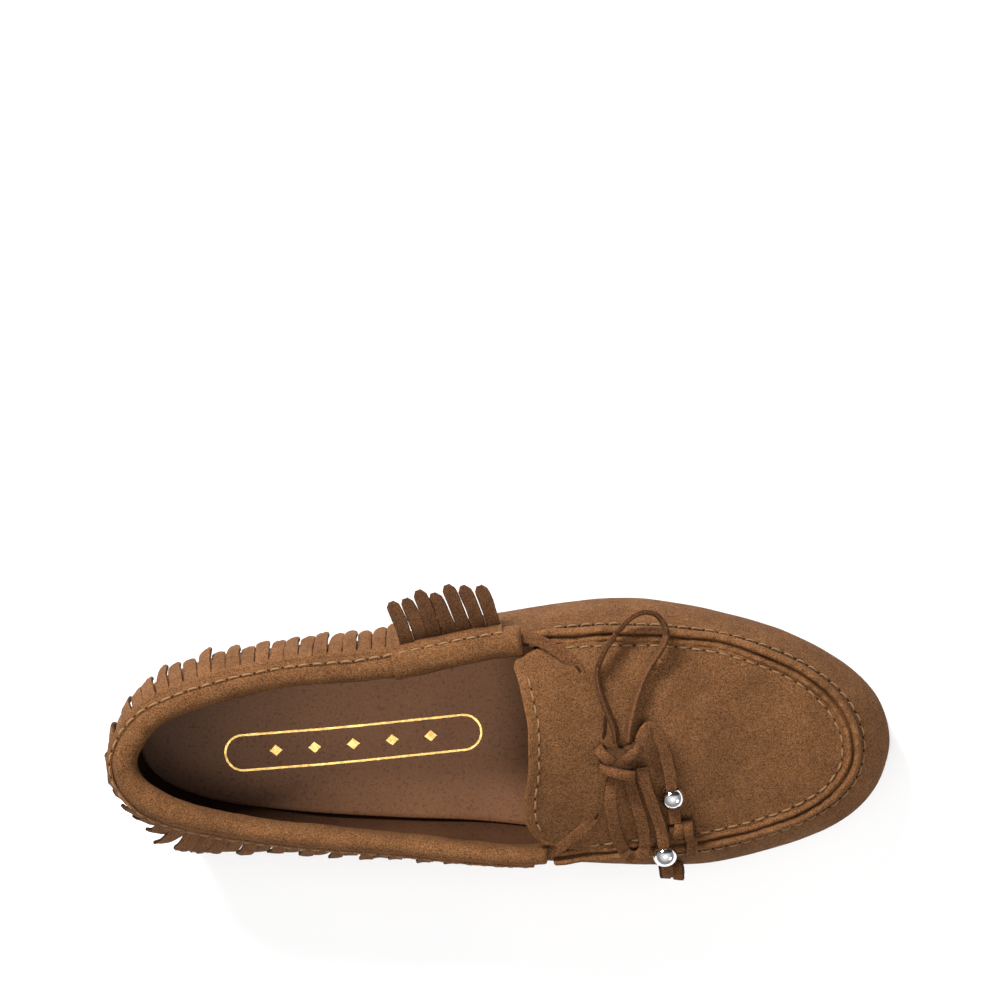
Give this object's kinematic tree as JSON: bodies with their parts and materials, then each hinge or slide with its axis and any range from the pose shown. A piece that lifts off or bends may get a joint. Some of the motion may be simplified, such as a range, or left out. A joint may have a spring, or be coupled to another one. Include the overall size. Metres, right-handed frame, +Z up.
{
  "type": "moccasin",
  "caption": "Left suede moccasin with an apron toe, a padded collar with a cut fringe under it, and a thong bow with round metal beads on its ends.",
  "frame": {"origin": "on the ground under the middle of the shoe, in the rest face under the ball of the foot", "axes": "+X towards the toe, +Y towards the outer side of a left foot, +Z up"},
  "size_m": [0.2599, 0.1027, 0.0637],
  "materials": {
    "suede": "matte",
    "thong": "matte",
    "lining": "satin",
    "thread": "matte",
    "rubber": "matte",
    "board": "matte",
    "foam": "matte",
    "bead_metal": "polished",
    "foil": "satin"
  },
  "bodies": {
    "shoe": {"outsole": "rubber", "heel_lift": "rubber", "insole_board": "board", "footbed_foam": "foam", "sock_lining": "lining", "foil_stamp": "foil", "vamp": "suede", "apron": "suede", "apron_welt": "suede", "quarter_outer": "suede", "quarter_inner": "suede", "vamp_lining": "lining", "quarter_lining": "lining", "heel_counter": "board", "toe_puff": "board", "collar_cover": "suede", "collar_foam": "foam", "fringe": "suede", "collar_lace": "thong", "lace_bridge_outer": "thong", "lace_bridge_inner": "thong", "lace_long_loop": "thong", "lace_short_loop": "thong", "lace_upper_tail": "thong", "lace_lower_tail": "thong", "bow_knot": "thong", "stopper_knot_upper": "thong", "stopper_knot_lower": "thong", "apron_stitches": "thread", "vamp_stitches": "thread", "collar_stitches": "thread", "throat_stitches": "thread"},
    "upper_bead": {"bead_upper": "bead_metal"},
    "lower_bead": {"bead_lower": "bead_metal"}
  },
  "joints": [
    {"name": "upper_bead_slide", "type": "slide", "parent": "shoe", "child": "upper_bead", "axis": [0.0978, -0.9784, -0.182], "range_m": [-0.003, 0.002]},
    {"name": "lower_bead_slide", "type": "slide", "parent": "shoe", "child": "lower_bead", "axis": [0.1512, -0.9693, -0.1939], "range_m": [-0.002, 0.001]}
  ]
}
